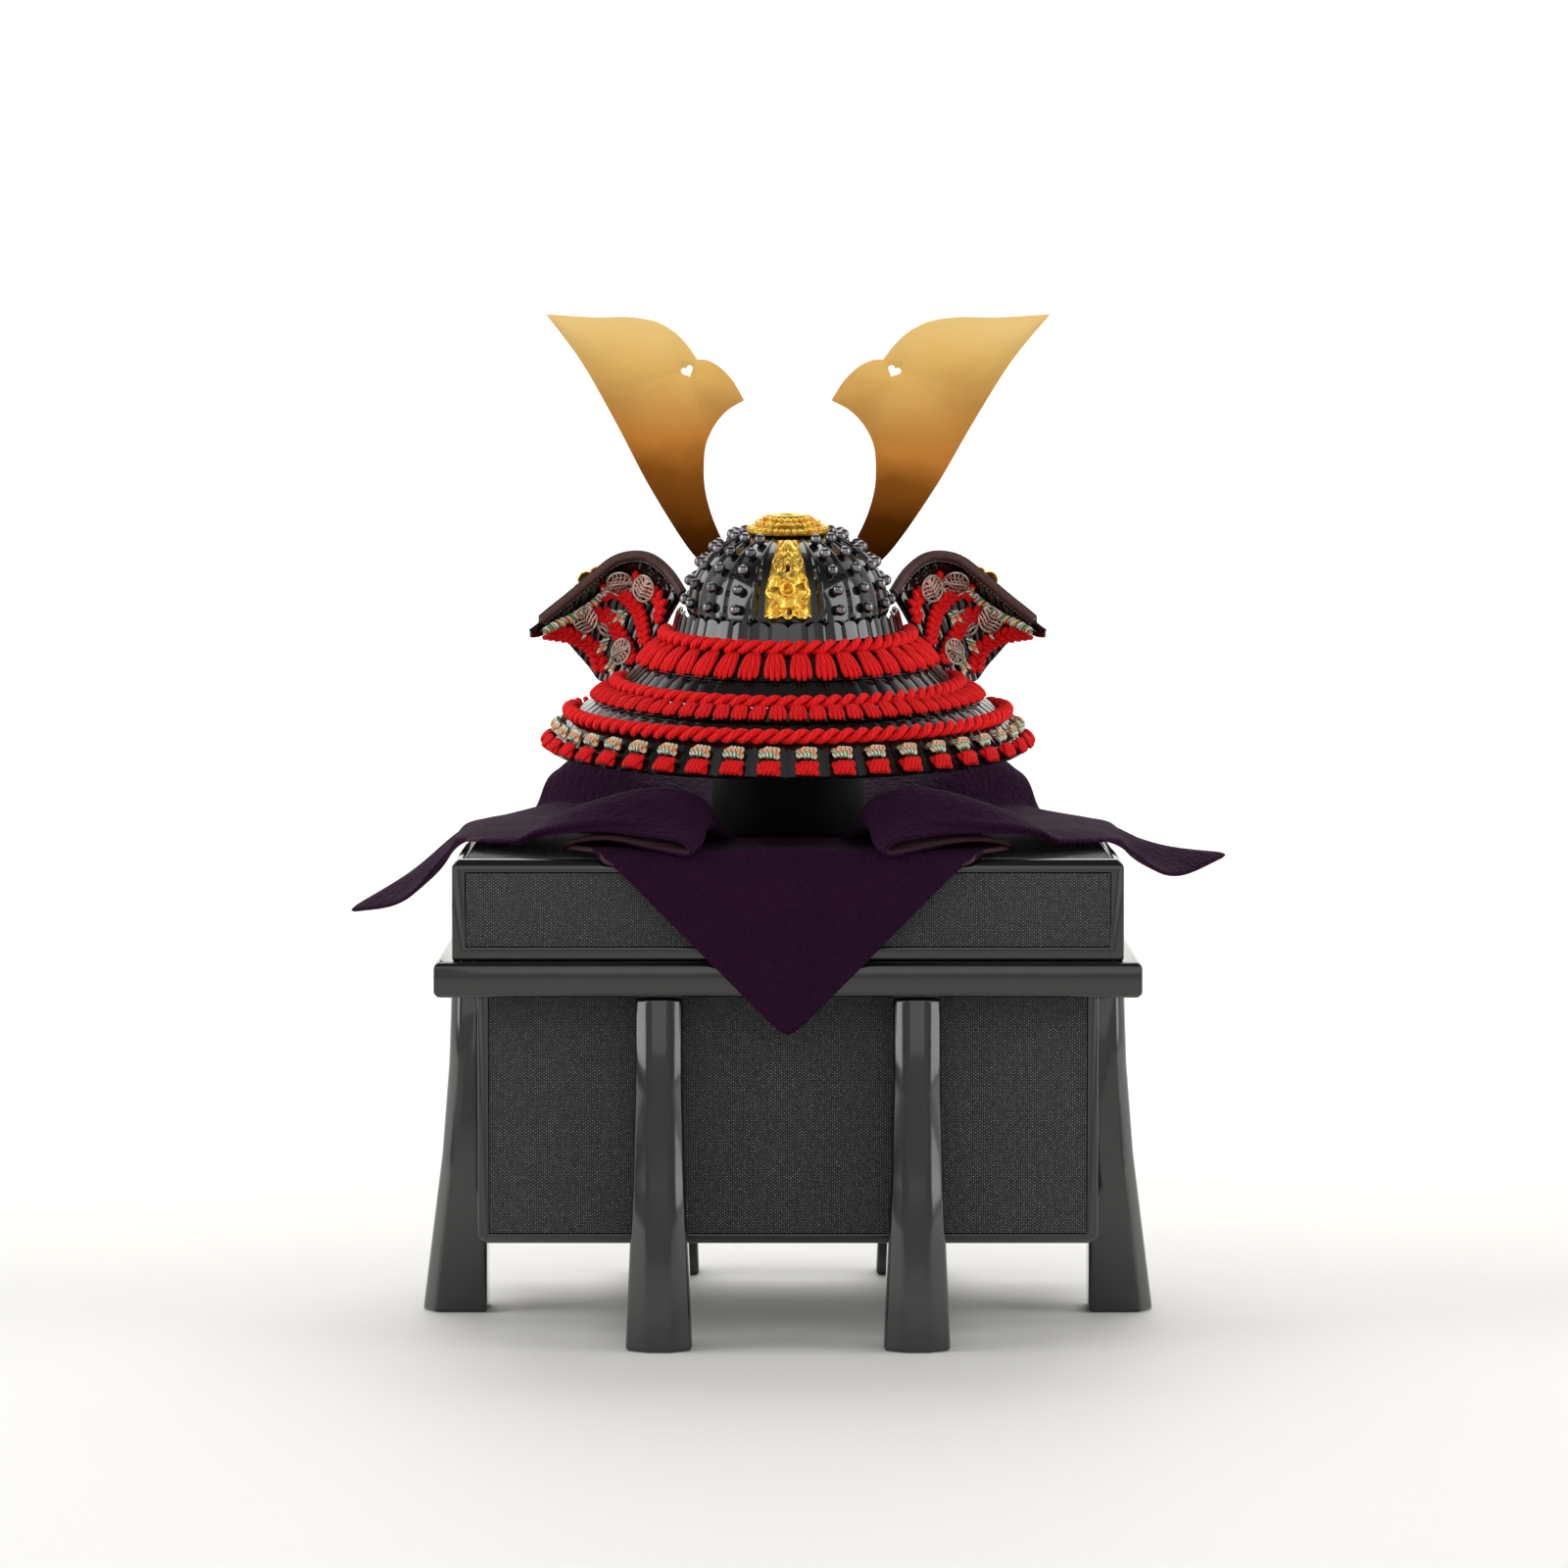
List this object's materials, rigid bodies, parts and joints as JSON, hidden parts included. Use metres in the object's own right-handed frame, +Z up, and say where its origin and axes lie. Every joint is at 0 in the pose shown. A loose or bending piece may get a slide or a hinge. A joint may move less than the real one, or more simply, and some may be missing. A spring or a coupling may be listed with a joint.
{
  "type": "kabuto samurai helmet on six-legged chest",
  "caption": "Miniature samurai helmet with tall swept horns, curled side wings and a flared laced neck guard, on a cloth over a lacquered chest with flared legs.",
  "frame": {"origin": "on the floor, under the middle of the object's bounding box", "axes": "+Z up; +X to the right as the helmet is seen from behind; -Y is the helmet's back, +Y the side its horns and peak face"},
  "size_m": [0.3493, 0.232, 0.3931],
  "materials": {
    "lacquer": "deep black lacquer, high gloss",
    "linen": "coarse black woven linen with pale glints",
    "crepe": "matt dark purple crepe silk, double layer",
    "scale": "black lacquered scales",
    "red_cord": "bright red twisted and braided silk cord",
    "braid": "braid of white, green, red and yellow threads",
    "gilt": "bright gilt metal with chased relief",
    "brass": "brushed brass, light gold above and bronze below",
    "leather": "dark brown-purple leather",
    "rose_metal": "pierced pale rose-grey metal",
    "wood": "black painted wood"
  },
  "bodies": {
    "root": {"bowl": "lacquer", "finial": "gilt", "rear_ornament": "gilt", "visor": "lacquer", "horn_mount": "gilt", "horn_left": "brass", "horn_right": "brass", "lame_upper": "scale", "lame_middle": "scale", "lame_lower": "scale", "rope_upper": "red_cord", "rope_middle": "red_cord", "rope_lower": "red_cord", "lacing_upper": "red_cord", "lacing_middle": "red_cord", "knots_coloured": "braid", "knots_red": "red_cord", "wing_plate_right": "scale", "wing_leather_right": "leather", "wing_lacing_upper_right": "red_cord", "wing_lacing_lower_right": "red_cord", "wing_braid_right": "braid", "wing_crest_right": "gilt", "wing_disc_1_right": "rose_metal", "wing_disc_2_right": "rose_metal", "wing_disc_3_right": "rose_metal", "wing_disc_4_right": "rose_metal", "wing_disc_5_right": "rose_metal", "wing_plate_left": "scale", "wing_leather_left": "leather", "wing_lacing_upper_left": "red_cord", "wing_lacing_lower_left": "red_cord", "wing_braid_left": "braid", "wing_crest_left": "gilt", "wing_disc_1_left": "rose_metal", "wing_disc_2_left": "rose_metal", "wing_disc_3_left": "rose_metal", "wing_disc_4_left": "rose_metal", "wing_disc_5_left": "rose_metal", "chest_body": "lacquer", "panel_back": "linen", "panel_front": "linen", "panel_right": "linen", "panel_left": "linen", "chest_rim": "lacquer", "chest_lid": "lacquer", "lid_panel_back": "linen", "lid_panel_front": "linen", "lid_panel_right": "linen", "lid_panel_left": "linen", "lid_panel_top": "linen", "leg_back_left": "lacquer", "leg_back_right": "lacquer", "leg_front_left": "lacquer", "leg_front_right": "lacquer", "leg_side_left": "lacquer", "leg_side_right": "lacquer", "cloth": "crepe", "helmet_post": "wood"}
  },
  "joints": []
}
